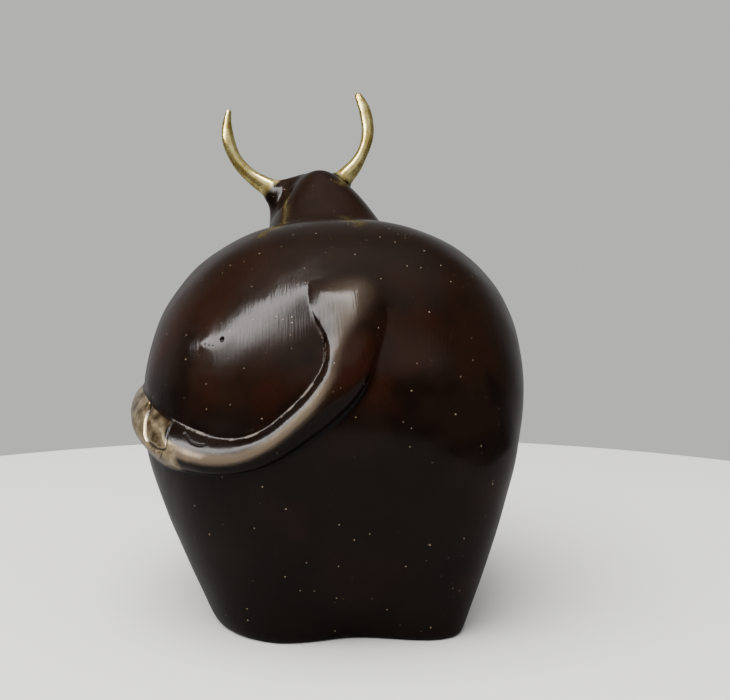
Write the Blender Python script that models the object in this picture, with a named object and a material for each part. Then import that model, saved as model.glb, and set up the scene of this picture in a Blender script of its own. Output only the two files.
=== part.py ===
# A stout, rounded bull with fused leg pairs, cast in one piece of bronze.
# Metres, +Z up. The bull faces +Y with its rump to -Y, and its right side is +X.
# The origin is on the floor, under the middle of the whole bull, head and tail included.
# The body is shaped about the barrel's own axis, and moved to its place at the end.

import bpy
import bmesh
from math import atan2, cos, floor, hypot, pi, radians, sin
from mathutils import Matrix, Vector

# Where the barrel's axis stands, seen from the middle of the whole bull
BARREL_X = 0.0016
BARREL_Y = -0.0122

# Height of the whole bull, from the floor to the higher horn tip. Levels and rises are shares of it.
WHOLE_HEIGHT = 0.2242

# Barrel: overall sizes
BACK_HEIGHT = 0.6951 * WHOLE_HEIGHT
SPINE_X = 0.0045
LEFT_REACH = 0.0813
LEFT_LEVEL = 0.3443 * WHOLE_HEIGHT
RIGHT_REACH = 0.0714
RIGHT_LEVEL = 0.3867 * WHOLE_HEIGHT
RUMP_REACH = 0.0911
RUMP_LEVEL = 0.3791 * WHOLE_HEIGHT
CHEST_REACH = 0.093
CHEST_LEVEL = 0.3568 * WHOLE_HEIGHT

# Barrel: how far each outline has drawn in at the feet, and how the curve runs
FOOT_LEFT_REACH = 0.0543
FOOT_RIGHT_REACH = 0.0411
FOOT_REAR_REACH = 0.0676
FOOT_FRONT_REACH = 0.069
SIDE_CURVE_POWER = 2.297
END_CURVE_POWER = 2.1
LEFT_TAPER_SOFTNESS = 0.37
RIGHT_TAPER_SOFTNESS = 0.145
END_TAPER_SOFTNESS = 0.42
LEFT_FOOT_SQUARENESS = 3.0
RIGHT_FOOT_SQUARENESS = 7.2
BACK_SQUARENESS = 2.33
LEFT_SQUARENESS_POWER = 1.0
RIGHT_SQUARENESS_POWER = 0.576
FOOT_HOLLOW_X = 0.002
FOOT_HOLLOW_DEPTH = 0.0062
FOOT_HOLLOW_HEIGHT = 0.1606 * WHOLE_HEIGHT
FOOT_HOLLOW_HALF_WIDTH = 0.031

# Arch between the hind legs and the front legs
ARCH_HEIGHT = 0.1963 * WHOLE_HEIGHT
ARCH_LENGTH = 0.054
ARCH_MIDDLE_Y = 0.004
ARCH_CURVE_POWER = 2.6

# Neck: the crest rises in front of the back
CREST_TOP = 0.8189 * WHOLE_HEIGHT
CREST_Y = 0.062
CREST_X = -0.0008
NECK_LEFT_REACH = 0.0308
NECK_RIGHT_REACH = 0.0368
NECK_CORE_LEVEL = 0.5665 * WHOLE_HEIGHT
NECK_START_Y = 0.004
NECK_CURVE_POWER = 1.65

# Head, tilted with its left side lower and its nose down
HEAD_X = -0.0031
HEAD_Y = 0.073
HEAD_LEVEL = 0.7003 * WHOLE_HEIGHT
HEAD_TILT = radians(8.2)
HEAD_NOD = radians(33)
HEAD_HALF_WIDTH = 0.0210
HEAD_HALF_HEIGHT = 0.0195
HEAD_LENGTH = 0.057
HEAD_CURVE_POWER = 2.3
MUZZLE_HALF_WIDTH = 0.0158
MUZZLE_HALF_HEIGHT = 0.0132
POLL_RIDGE_LIFT = 0.0163
POLL_RIDGE_WIDTH = 0.0405
POLL_RIDGE_HEIGHT = 0.020
POLL_RIDGE_LENGTH = 0.022
EYE_LENGTH = 0.0086
EYE_HEIGHT = 0.0056
EYE_THICKNESS = 0.0044
NOSTRIL_DIAMETER = 0.0060
EAR_LENGTH = 0.0240
EAR_WIDTH = 0.0105
EAR_THICKNESS = 0.0064
EAR_OFFSET = 0.0265
EAR_LEVEL = -0.0110
EAR_DROOP = radians(32)
EAR_SWEEP = radians(12)

# Horns
HORN_SPREAD = 0.0342
HORN_RISE = 0.1847 * WHOLE_HEIGHT
HORN_SWEEP = 0.011
HORN_ROOT_OFFSET = 0.0160
HORN_ROOT_LIFT = 0.0901 * WHOLE_HEIGHT
HORN_ROOT_DIAMETER = 0.0096
HORN_MIDDLE_DIAMETER = 0.0062
HORN_TIP_DIAMETER = 0.0030

# Tail, laid on the rump and round the left flank
TAIL_ROOT_WIDTH = 0.027
TAIL_RELIEF = 0.0062
TUFT_RELIEF = 0.0056
TAIL_SUNK = 0.006
TAIL_EDGE_SUNK = 0.0012

# Fineness of the finished surface
NORMAL_STEP = 0.001
BODY_GRAIN = 0.0016
BODY_TRIANGLES = 6400
SMOOTH_ROUNDS = 7
RING_POINTS = 128
RING_LEVELS = 30
HORN_SIDES = 12
TAIL_STATIONS = 48
UNDERSIDE_TRIM = 0.0025


def clear_scene():
    for thing in list(bpy.data.objects):
        bpy.data.objects.remove(thing)


def clamp(value, low=0.0, high=1.0):
    return min(max(value, low), high)


def mix(a, b, share):
    return a + (b - a) * share


def ease(value):
    value = clamp(value)
    return value * value * (3 - 2 * value)


def along(stations, share):
    """Value at a share from 0 to 1 along evenly spaced stations, on a smooth curve."""
    place = clamp(share) * (len(stations) - 1)
    i = min(int(floor(place)), len(stations) - 2)
    t = place - i
    p0 = stations[max(i - 1, 0)]
    p1 = stations[i]
    p2 = stations[i + 1]
    p3 = stations[min(i + 2, len(stations) - 1)]
    return 0.5 * (2 * p1 + (p2 - p0) * t + (2 * p0 - 5 * p1 + 4 * p2 - p3) * t**2 + (3 * p1 - p0 - 3 * p2 + p3) * t**3)


# Barrel outline

def outline(z, widest, widest_level, foot, power, softness):
    """Reach of one side at height z: a superellipse above its widest level, and below it a taper that sets in softly."""
    if z >= widest_level:
        rise = clamp((z - widest_level) / (BACK_HEIGHT - widest_level))
        return widest * (1 - rise**power) ** (1 / power)
    drop = (widest_level - z) / widest_level
    taper = (hypot(drop, softness) - softness) / (hypot(1, softness) - softness)
    return widest - (widest - foot) * taper


def barrel_section(z, across, along_spine):
    """Sideways reach, lengthways reach and squareness of the quarter of the section that a direction points to."""
    if across < 0:
        side = outline(z, LEFT_REACH, LEFT_LEVEL, FOOT_LEFT_REACH, SIDE_CURVE_POWER, LEFT_TAPER_SOFTNESS)
        squareness = mix(LEFT_FOOT_SQUARENESS, BACK_SQUARENESS, clamp(z / LEFT_LEVEL) ** LEFT_SQUARENESS_POWER)
    else:
        side = outline(z, RIGHT_REACH, RIGHT_LEVEL, FOOT_RIGHT_REACH, SIDE_CURVE_POWER, RIGHT_TAPER_SOFTNESS)
        squareness = mix(RIGHT_FOOT_SQUARENESS, BACK_SQUARENESS, clamp(z / RIGHT_LEVEL) ** RIGHT_SQUARENESS_POWER)
    if along_spine < 0:
        end = outline(z, RUMP_REACH, RUMP_LEVEL, FOOT_REAR_REACH, END_CURVE_POWER, END_TAPER_SOFTNESS)
    else:
        end = outline(z, CHEST_REACH, CHEST_LEVEL, FOOT_FRONT_REACH, END_CURVE_POWER, END_TAPER_SOFTNESS)
    return side, end, squareness


def barrel_point(turn, z):
    """Point of the barrel at height z, where turn goes round from the rump (0) to the bull's left (below 0)."""
    across, along_spine = sin(turn), -cos(turn)
    side, end, squareness = barrel_section(z, across, along_spine)
    if side <= 0 or end <= 0:
        return Vector((SPINE_X, 0, z))
    radius = (abs(across / side) ** squareness + abs(along_spine / end) ** squareness) ** (-1 / squareness)
    x, y = radius * across, radius * along_spine
    from_hollow = abs(SPINE_X + x - FOOT_HOLLOW_X) / FOOT_HOLLOW_HALF_WIDTH
    hollow = FOOT_HOLLOW_DEPTH * (1 - ease(z / FOOT_HOLLOW_HEIGHT)) * (1 - ease(from_hollow))
    y -= hollow if y > 0 else -hollow
    return Vector((SPINE_X + x, y, z))


def barrel_normal(turn, z):
    turn_step = NORMAL_STEP / RUMP_REACH
    sideways = barrel_point(turn + turn_step, z) - barrel_point(turn - turn_step, z)
    upward = barrel_point(turn, z + NORMAL_STEP) - barrel_point(turn, z - NORMAL_STEP)
    return sideways.cross(upward).normalized()


# Mesh helpers

def finish_mesh(name, bm):
    bmesh.ops.recalc_face_normals(bm, faces=bm.faces)
    mesh = bpy.data.meshes.new(name)
    bm.to_mesh(mesh)
    bm.free()
    thing = bpy.data.objects.new(name, mesh)
    bpy.context.scene.collection.objects.link(thing)
    return thing


def loft(name, rings):
    """Closed skin through rings of equal length, with a flat fan at each end."""
    bm = bmesh.new()
    rows = [[bm.verts.new(point) for point in ring] for ring in rings]
    count = len(rows[0])
    for lower, upper in zip(rows, rows[1:]):
        for i in range(count):
            j = (i + 1) % count
            bm.faces.new((lower[i], lower[j], upper[j], upper[i]))
    for row, ring in ((rows[0], rings[0]), (rows[-1], rings[-1])):
        middle = bm.verts.new(sum((Vector(point) for point in ring), Vector()) / count)
        for i in range(count):
            bm.faces.new((row[i], row[(i + 1) % count], middle))
    return finish_mesh(name, bm)


def apply_modifiers(thing):
    """Gives the object the mesh that its modifiers, or its curve, come to."""
    graph = bpy.context.evaluated_depsgraph_get()
    mesh = bpy.data.meshes.new_from_object(thing.evaluated_get(graph))
    name = thing.name
    if thing.type == "MESH":
        thing.modifiers.clear()
        thing.data = mesh
        return thing
    bpy.data.objects.remove(thing)
    made = bpy.data.objects.new(name, mesh)
    bpy.context.scene.collection.objects.link(made)
    return made


def combine(thing, others, operation):
    for other in others:
        boolean = thing.modifiers.new(operation.title(), "BOOLEAN")
        boolean.operation = operation
        boolean.solver = "EXACT"
        boolean.object = other
    apply_modifiers(thing)
    for other in others:
        bpy.data.objects.remove(other)


# Blocks of the body

def make_barrel():
    """Barrel and legs. It runs a little below the floor, where the underside is trimmed flat later."""
    levels = [-UNDERSIDE_TRIM]
    middle = BACK_HEIGHT / 2
    for i in range(RING_LEVELS):
        levels.append(middle * i / RING_LEVELS)
    for i in range(RING_LEVELS):
        rise = sin(0.5 * pi * i / RING_LEVELS) ** (2 / SIDE_CURVE_POWER)
        levels.append(middle + (BACK_HEIGHT - middle) * rise)
    rings = []
    for z in levels:
        ring = [barrel_point(2 * pi * i / RING_POINTS, max(z, 0)) for i in range(RING_POINTS)]
        rings.append([(p.x, p.y, z) for p in ring])
    return loft("barrel", rings)


def make_arch_cutter():
    """Half-round tunnel from side to side, under the belly."""
    length = 2 * (LEFT_REACH + RIGHT_REACH)
    outline_points = []
    count = 24
    for i in range(count + 1):
        angle = pi * i / count
        y = cos(angle)
        y = abs(y) ** (2 / ARCH_CURVE_POWER) * (1 if y > 0 else -1)
        outline_points.append((y * ARCH_LENGTH / 2, sin(angle) ** (2 / ARCH_CURVE_POWER) * ARCH_HEIGHT))
    outline_points = [(outline_points[0][0], -ARCH_HEIGHT)] + outline_points + [(outline_points[-1][0], -ARCH_HEIGHT)]
    rings = [[(x, ARCH_MIDDLE_Y + y, z) for y, z in outline_points] for x in (-length / 2, length / 2)]
    return loft("arch", rings)


def superellipse(half_width, half_height, roundness, count=32):
    points = []
    for i in range(count):
        c, s = cos(2 * pi * i / count), sin(2 * pi * i / count)
        x = half_width * abs(c) ** (2 / roundness) * (1 if c > 0 else -1)
        z = half_height * abs(s) ** (2 / roundness) * (1 if s > 0 else -1)
        points.append((x, z))
    return points


def make_neck():
    """Rounded ridge that climbs from the back to the poll and drops to the throat."""
    # Shares of the way from the neck's start to the crest, of the crest's height over the core, and of its width
    stations = ((-0.25, 0.30, 1.25), (0.0, 0.44, 1.30), (0.25, 0.52, 1.25), (0.5, 0.68, 1.16), (0.75, 0.90, 1.06))
    after = ((0.92, 0.99, 1.0), (1.05, 1.0, 0.94), (1.20, 0.93, 0.80), (1.38, 0.74, 0.62), (1.54, 0.54, 0.46), (1.62, 0.30, 0.30))
    rise = CREST_TOP - NECK_CORE_LEVEL
    rings = []
    for share, height, width in stations + after:
        y = mix(NECK_START_Y, CREST_Y, share)
        ring = []
        for x, z in superellipse(1.0, rise * height, NECK_CURVE_POWER):
            reach = NECK_LEFT_REACH if x < 0 else NECK_RIGHT_REACH
            ring.append((CREST_X + x * reach * width, y, NECK_CORE_LEVEL + z))
        rings.append(ring)
    return loft("neck", rings)


def head_place():
    return Matrix.Translation((HEAD_X, HEAD_Y, HEAD_LEVEL)) @ Matrix.Rotation(-HEAD_TILT, 4, "Y")


def nodding_place():
    return head_place() @ Matrix.Rotation(-HEAD_NOD, 4, "X")


def make_head():
    """Skull and muzzle as one tapering block, seen from the poll towards the nose."""
    # Share of the head's length, of the way from skull size to muzzle size, swell of that size, and sag
    stations = (
        (-0.27, 0.0, 0.46, 0.00), (-0.20, 0.0, 0.82, 0.00), (-0.08, 0.0, 0.98, 0.00), (0.10, 0.0, 1.03, 0.00),
        (0.28, 0.10, 1.00, 0.04), (0.46, 0.52, 0.96, 0.11), (0.64, 0.92, 0.94, 0.20), (0.80, 1.0, 1.03, 0.25),
        (0.92, 1.0, 0.96, 0.28), (0.98, 1.0, 0.70, 0.28), (1.0, 1.0, 0.38, 0.28),
    )
    place = nodding_place()
    rings = []
    for share, taper, swell, sag in stations:
        half_width = mix(HEAD_HALF_WIDTH, MUZZLE_HALF_WIDTH, taper) * swell
        half_height = mix(HEAD_HALF_HEIGHT, MUZZLE_HALF_HEIGHT, taper) * swell
        drop = sag * HEAD_HALF_HEIGHT
        ring = superellipse(half_width, half_height, HEAD_CURVE_POWER)
        rings.append([place @ Vector((x, share * HEAD_LENGTH, z - drop)) for x, z in ring])
    return loft("head", rings)


def make_pebble(name, place, size):
    """Ellipsoid of the given full sizes at a place."""
    bm = bmesh.new()
    bmesh.ops.create_uvsphere(bm, u_segments=16, v_segments=10, radius=0.5)
    bmesh.ops.transform(bm, matrix=place @ Matrix.Diagonal((*size, 1)), verts=bm.verts)
    return finish_mesh(name, bm)


def make_face():
    """The ridge that carries the horns, ears that hang back along the cheeks, and eyes."""
    place = nodding_place()
    ridge = head_place() @ Matrix.Translation((0, 0, POLL_RIDGE_LIFT))
    made = [make_pebble("poll_ridge", ridge, (POLL_RIDGE_WIDTH, POLL_RIDGE_LENGTH, POLL_RIDGE_HEIGHT))]
    for side in (-1, 1):
        ear = head_place() @ Matrix.Translation((side * EAR_OFFSET, 0.16 * HEAD_LENGTH, EAR_LEVEL))
        ear = ear @ Matrix.Rotation(side * EAR_SWEEP, 4, "Z") @ Matrix.Rotation(side * EAR_DROOP, 4, "Y")
        made.append(make_pebble("ear", ear, (EAR_LENGTH, EAR_THICKNESS, EAR_WIDTH)))
        eye = place @ Matrix.Translation((side * HEAD_HALF_WIDTH * 0.90, 0.34 * HEAD_LENGTH, 0.20 * HEAD_HALF_HEIGHT))
        made.append(make_pebble("eye", eye, (EYE_THICKNESS, EYE_LENGTH, EYE_HEIGHT)))
    return made


def make_nostrils():
    place = nodding_place()
    made = []
    for side in (-1, 1):
        pit = place @ Matrix.Translation((side * MUZZLE_HALF_WIDTH * 0.46, 0.98 * HEAD_LENGTH, -0.08 * HEAD_HALF_HEIGHT))
        made.append(make_pebble("nostril", pit, (NOSTRIL_DIAMETER, NOSTRIL_DIAMETER * 1.4, NOSTRIL_DIAMETER)))
    return made


def soften(thing):
    """One even skin over the joined blocks, with every joint run into a fillet, then as few faces as hold the form."""
    remesh = thing.modifiers.new("Skin", "REMESH")
    remesh.mode = "VOXEL"
    remesh.voxel_size = BODY_GRAIN
    smooth = thing.modifiers.new("Fillets", "SMOOTH")
    smooth.factor = 0.5
    smooth.iterations = SMOOTH_ROUNDS
    apply_modifiers(thing)
    triangles = 2 * len(thing.data.polygons)
    fewer = thing.modifiers.new("Fewer", "DECIMATE")
    fewer.ratio = clamp(BODY_TRIANGLES / triangles, 0.001, 1.0)
    fewer.use_collapse_triangulate = True
    apply_modifiers(thing)


def trim_underside(thing):
    """Flat underside on the floor."""
    size = 4 * CHEST_REACH
    bm = bmesh.new()
    bmesh.ops.create_cube(bm, size=1.0)
    place = Matrix.Translation((0, 0, -size / 2)) @ Matrix.Diagonal((size, size, size, 1))
    bmesh.ops.transform(bm, matrix=place, verts=bm.verts)
    combine(thing, [finish_mesh("floor", bm)], "DIFFERENCE")


# Horns

def horn_point(share):
    """Centre line of a horn in its own frame: outward, forward, up."""
    start = Vector((HORN_ROOT_OFFSET, 0, HORN_ROOT_LIFT))
    first = Vector((mix(HORN_ROOT_OFFSET, HORN_SPREAD, 0.52), HORN_SWEEP * 0.2, HORN_ROOT_LIFT + HORN_RISE * 0.15))
    second = Vector((HORN_SPREAD * 1.16, HORN_SWEEP * 0.45, HORN_ROOT_LIFT + HORN_RISE * 0.45))
    last = Vector((HORN_SPREAD * 0.945, HORN_SWEEP, HORN_ROOT_LIFT + HORN_RISE))
    left = 1 - share
    return left**3 * start + 3 * share * left**2 * first + 3 * share**2 * left * second + share**3 * last


def horn_radius(share):
    """Thins quickly from the root, stays even past the middle and ends in a blunt tip."""
    root_part = (HORN_ROOT_DIAMETER - HORN_MIDDLE_DIAMETER) * (1 - ease(share / 0.45))
    tip_part = (HORN_MIDDLE_DIAMETER - HORN_TIP_DIAMETER) * clamp((share - 0.6) / 0.4) ** 3
    return 0.5 * (HORN_MIDDLE_DIAMETER + root_part - tip_part)


def make_horn(name, side):
    curve = bpy.data.curves.new(name, "CURVE")
    curve.dimensions = "3D"
    curve.bevel_depth = 1.0
    curve.bevel_resolution = HORN_SIDES // 2 - 2
    curve.use_fill_caps = True
    shares = [-0.20, -0.10] + [i / 14 for i in range(15)]
    spline = curve.splines.new("POLY")
    spline.points.add(len(shares) + 1)
    place = head_place()
    tip_round = horn_radius(1.0)
    for point, share in zip(spline.points, shares):
        spot = horn_point(share)
        point.co = (*(place @ Vector((side * spot.x, spot.y, spot.z))), 1)
        point.radius = horn_radius(max(share, 0))
    onward = (horn_point(1.0) - horn_point(0.97)).normalized()
    for point, (reach, width) in zip(list(spline.points)[-2:], ((0.6, 0.8), (1.0, 0.35))):
        spot = horn_point(1.0) + onward * tip_round * reach
        point.co = (*(place @ Vector((side * spot.x, spot.y, spot.z))), 1)
        point.radius = tip_round * width
    thing = bpy.data.objects.new(name, curve)
    bpy.context.scene.collection.objects.link(thing)
    return apply_modifiers(thing)


# Tail

def tail_station(share):
    """Turn, height, width, relief and softness of the outer edge at a share of the tail's length."""
    turns = (-2.0, -2.8, -3.7, -3.0, -3.3, -5.0, -9.1, -14.3, -20.0, -26.0, -32.9, -39.9, -48.8, -60.0, -73.0, -86.0)
    levels = (0.944, 0.874, 0.797, 0.740, 0.685, 0.629, 0.575, 0.527, 0.485, 0.459, 0.450, 0.455, 0.464, 0.482, 0.512, 0.556)
    widths = (0.89, 1.0, 0.985, 0.86, 0.675, 0.578, 0.505, 0.45, 0.42, 0.435, 0.478, 0.56, 0.68, 0.775, 0.76, 0.65)
    tufts = (0.0, 0.0, 0.0, 0.0, 0.0, 0.0, 0.0, 0.0, 0.0, 0.0, 0.08, 0.30, 0.60, 0.90, 1.0, 0.5)
    tuft = along(tufts, share)
    width = TAIL_ROOT_WIDTH * along(widths, share)
    relief = mix(TAIL_RELIEF, TUFT_RELIEF, tuft) * ease((share - 0.07) / 0.12)
    end = ease((share - 0.88) / 0.12)
    relief *= 1 - 0.92 * end
    width *= 1 - 0.75 * end
    softness = max(1 - ease((share - 0.12) / 0.26), 0.75 * tuft)
    return radians(along(turns, share)), along(levels, share) * BACK_HEIGHT, width, relief, softness


def tail_profile(across, relief, softness):
    """Height over the barrel at across, from -1 at the outer edge to 1 at the inner edge."""
    full = (1 - abs(across) ** 2.3) ** (1 / 2.3)
    bell = cos(0.5 * pi * across) ** 2
    soft = softness if across < 0 else 0.0
    return relief * mix(full, bell, soft)


def make_tail():
    steps = [-1, -0.97, -0.86, -0.68, -0.45, -0.2, 0.08, 0.35, 0.6, 0.8, 0.93, 1]
    rings = []
    for i in range(TAIL_STATIONS + 1):
        share = i / TAIL_STATIONS
        turn, level, width, relief, softness = tail_station(share)
        near = tail_station(clamp(share - 0.01))
        far = tail_station(clamp(share + 0.01))
        onward = (barrel_point(far[0], far[1]) - barrel_point(near[0], near[1])).normalized()
        middle = barrel_point(turn, level)
        inner = onward.cross(barrel_normal(turn, level)).normalized()
        ring = []
        for across in steps:
            ridge = 0.16 * width * (1 - across**2) * (1 - softness)
            target = middle + inner * (across * width / 2 + ridge)
            target_turn = atan2(target.x - SPINE_X, -target.y)
            base = barrel_point(target_turn, target.z)
            outward = barrel_normal(target_turn, target.z)
            sunk = TAIL_EDGE_SUNK if abs(across) == 1 else 0
            ring.append(base + outward * (tail_profile(across, relief, softness) - sunk))
        outward = barrel_normal(turn, level)
        ring.append(middle + inner * width * 0.30 - outward * TAIL_SUNK)
        ring.append(middle - inner * width * 0.30 - outward * TAIL_SUNK)
        rings.append(ring)
    return loft("tail", rings)


# Finish

def bronze():
    material = bpy.data.materials.new("bronze")
    material.use_nodes = True
    shader = material.node_tree.nodes["Principled BSDF"]
    shader.inputs["Base Color"].default_value = (0.030, 0.014, 0.008, 1)
    shader.inputs["Metallic"].default_value = 1.0
    shader.inputs["Roughness"].default_value = 0.30
    return material


def make_bull():
    bull = make_barrel()
    combine(bull, [make_neck(), make_head()] + make_face(), "UNION")
    combine(bull, [make_arch_cutter()] + make_nostrils(), "DIFFERENCE")
    soften(bull)
    trim_underside(bull)
    combine(bull, [make_horn("left_horn", -1), make_horn("right_horn", 1), make_tail()], "UNION")
    bull.data.transform(Matrix.Translation((BARREL_X, BARREL_Y, 0)))
    bull.name = "bull"
    bull.data.name = "bull"
    bull.data.materials.clear()
    bull.data.materials.append(bronze())
    bull.data.shade_smooth()
    bull.data.set_sharp_from_angle(angle=radians(38))
    return bull


clear_scene()
make_bull()
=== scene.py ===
# A stout, rounded bull cast in bronze, waxed dark and rubbed bright on horns and tail.
# Metres, +Z up. The bull faces +Y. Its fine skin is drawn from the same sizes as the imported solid.

from math import pi, radians

import bpy
import bmesh
import numpy as np
from mathutils import Matrix, Vector


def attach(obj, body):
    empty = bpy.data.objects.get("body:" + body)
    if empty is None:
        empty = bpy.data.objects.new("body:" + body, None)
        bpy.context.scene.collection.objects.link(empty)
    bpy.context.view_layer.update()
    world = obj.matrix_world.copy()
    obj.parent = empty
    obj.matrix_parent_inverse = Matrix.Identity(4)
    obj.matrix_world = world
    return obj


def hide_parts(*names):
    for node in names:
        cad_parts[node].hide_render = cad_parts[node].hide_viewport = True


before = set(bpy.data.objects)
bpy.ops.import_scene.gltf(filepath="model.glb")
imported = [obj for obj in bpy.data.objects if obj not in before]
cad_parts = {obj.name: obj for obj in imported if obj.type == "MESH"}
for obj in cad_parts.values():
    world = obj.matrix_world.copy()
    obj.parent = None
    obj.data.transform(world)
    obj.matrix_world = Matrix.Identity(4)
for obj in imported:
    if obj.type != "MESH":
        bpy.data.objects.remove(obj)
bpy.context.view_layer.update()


# small helpers

def addObject(name, data):
    thing = bpy.data.objects.new(name, data)
    bpy.context.scene.collection.objects.link(thing)
    return thing


def addMaterial(name):
    material = bpy.data.materials.new(name)
    material.use_nodes = True
    return material, material.node_tree


def hexColor(code):
    # sRGB hex to linear RGBA
    shares = [int(code[i:i + 2], 16) / 255 for i in (1, 3, 5)]
    linear = [s / 12.92 if s <= 0.04045 else ((s + 0.055) / 1.055) ** 2.4 for s in shares]
    return (*linear, 1.0)


def ease(v):
    v = np.clip(v, 0, 1)
    return v * v * (3 - 2 * v)


def rising(v, span):
    # 0 up to the span's start and 1 once it is over; a span is a start and a length
    return ease((v - span[0]) / span[1])


def softRise(v, softness):
    # from 0 to 1, straight but for a soft start
    return (np.hypot(v, softness) - softness) / (np.hypot(1, softness) - softness)


def mix(a, b, t):
    return a + (b - a) * t


def smoothMin(a, b, k):
    h = np.maximum(k - np.abs(a - b), 0) / k
    return np.minimum(a, b) - h * h * k / 4


def smoothMax(a, b, k):
    return -smoothMin(-a, -b, k)


def curveThrough(places, values, at):
    # smooth curve through stations that need not be evenly spaced
    places = np.asarray(places, float)
    values = np.asarray(values, float)
    slopes = np.gradient(values, places)
    at = np.clip(at, places[0], places[-1])
    i = np.clip(np.searchsorted(places, at, side="right") - 1, 0, len(places) - 2)
    step = places[i + 1] - places[i]
    t = (at - places[i]) / step
    rise = values[i + 1] - values[i]
    a = slopes[i] * step - rise
    b = rise - slopes[i + 1] * step
    return values[i] + rise * t + t * (1 - t) * (a * (1 - t) + b * t)


def evenCurve(values, at):
    return curveThrough(np.linspace(0, 1, len(values)), values, at)


# barrel and legs, same sizes as the solid

barrel = {
    "x": 0.0016, "y": -0.0122,  # where its axis stands in the frame
    "backHeight": 0.15584, "spineX": 0.0045, "backSquareness": 2.33,
    "leftReach": 0.0813, "leftLevel": 0.0772, "leftFoot": 0.0543, "leftSoftness": 0.37,
    "leftSquareness": 3.0, "leftSquarePower": 1.0,
    "rightReach": 0.0714, "rightLevel": 0.0867, "rightFoot": 0.0411, "rightSoftness": 0.145,
    "rightSquareness": 7.2, "rightSquarePower": 0.576,
    "rumpReach": 0.0911, "rumpLevel": 0.085, "rumpFoot": 0.0676,
    "chestReach": 0.093, "chestLevel": 0.080, "chestFoot": 0.069,
    "sidePower": 2.297, "endPower": 2.1, "endSoftness": 0.42, "squareSoftness": 0.12,
    "hollowX": 0.002, "hollowDepth": 0.0062, "hollowHeight": 0.036, "hollowHalfWidth": 0.031,
    "archHeight": 0.044, "archLength": 0.054, "archMiddleY": 0.004, "archPower": 2.6, "archEdge": 0.006,
    "soleEdge": 0.0022,
}


def taperedReach(z, widest, level, foot, softness):
    # straight where it is steep, and setting in softly under the widest level
    drop = np.clip((level - z) / level, 0, 1)
    return widest - (widest - foot) * softRise(drop, softness)


def barrelField(p):
    # distance out of the barrel, about true near its skin
    s = barrel
    x, y, z = p[:, 0] - s["spineX"], p[:, 1], p[:, 2]
    reach, level, foot, softness, squareness, power = (
        np.where(x < 0, s["left" + name], s["right" + name])
        for name in ("Reach", "Level", "Foot", "Softness", "Squareness", "SquarePower"))
    endReach, endLevel, endFoot = (
        np.where(y < 0, s["rump" + name], s["chest" + name]) for name in ("Reach", "Level", "Foot"))
    below = 1 - np.clip(z / level, 1e-6, 1)
    settled = 1 - softRise(below, s["squareSoftness"])
    n = mix(squareness, s["backSquareness"], np.clip(settled, 1e-6, 1) ** power)
    fromHollow = np.abs(p[:, 0] - s["hollowX"]) / s["hollowHalfWidth"]
    hollow = s["hollowDepth"] * (1 - ease(z / s["hollowHeight"])) * (1 - ease(fromHollow))
    out = np.abs(y) + hollow
    # reaches below the widest levels
    sideLow = taperedReach(z, reach, level, foot, softness)
    endLow = taperedReach(z, endReach, endLevel, endFoot, s["endSoftness"])
    # above them each outline shrinks along a superellipse, to nothing at the back
    sideRise = np.clip((z - level) / (s["backHeight"] - level), 0, None)
    endRise = np.clip((z - endLevel) / (s["backHeight"] - endLevel), 0, None)
    sideWays = (np.abs(x) / sideLow) ** n
    endWays = (out / endLow) ** n
    flat = sideWays + endWays + 1e-12
    share = sideWays / flat
    rise = mix(endRise, sideRise, share)
    curve = mix(s["endPower"], s["sidePower"], share)
    rho = (flat ** (curve / n) + rise ** curve) ** (1 / curve)
    middle = mix(endLevel, level, share)
    away = np.sqrt(x * x + y * y + np.clip(z - middle, 0, None) ** 2)
    return away * (1 - 1 / np.maximum(rho, 1e-3))


def archField(p):
    # below 0 inside the tunnel between the leg pairs
    s = barrel
    y = (p[:, 1] - s["archMiddleY"]) / (s["archLength"] / 2)
    z = np.maximum(p[:, 2], 0) / s["archHeight"]
    n = s["archPower"]
    rho = (np.abs(y) ** n + z ** n + 1e-9) ** (1 / n)
    away = np.hypot(p[:, 1] - s["archMiddleY"], np.maximum(p[:, 2], 0))
    return away * (1 - 1 / rho)


# neck and head

neck = {
    "top": 0.1836, "crestY": 0.062, "x": -0.0008, "leftReach": 0.0308, "rightReach": 0.0368,
    "coreLevel": 0.127, "startY": 0.004, "power": 1.65, "blend": 0.007, "endBlend": 0.006,
    "stations": (-0.25, 0.0, 0.25, 0.5, 0.75, 0.92, 1.05, 1.20, 1.38, 1.54, 1.62),
    "heights": (0.30, 0.44, 0.52, 0.68, 0.90, 0.99, 1.0, 0.93, 0.74, 0.54, 0.30),
    "widths": (1.25, 1.30, 1.25, 1.16, 1.06, 1.0, 0.94, 0.80, 0.62, 0.46, 0.30),
}

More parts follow.
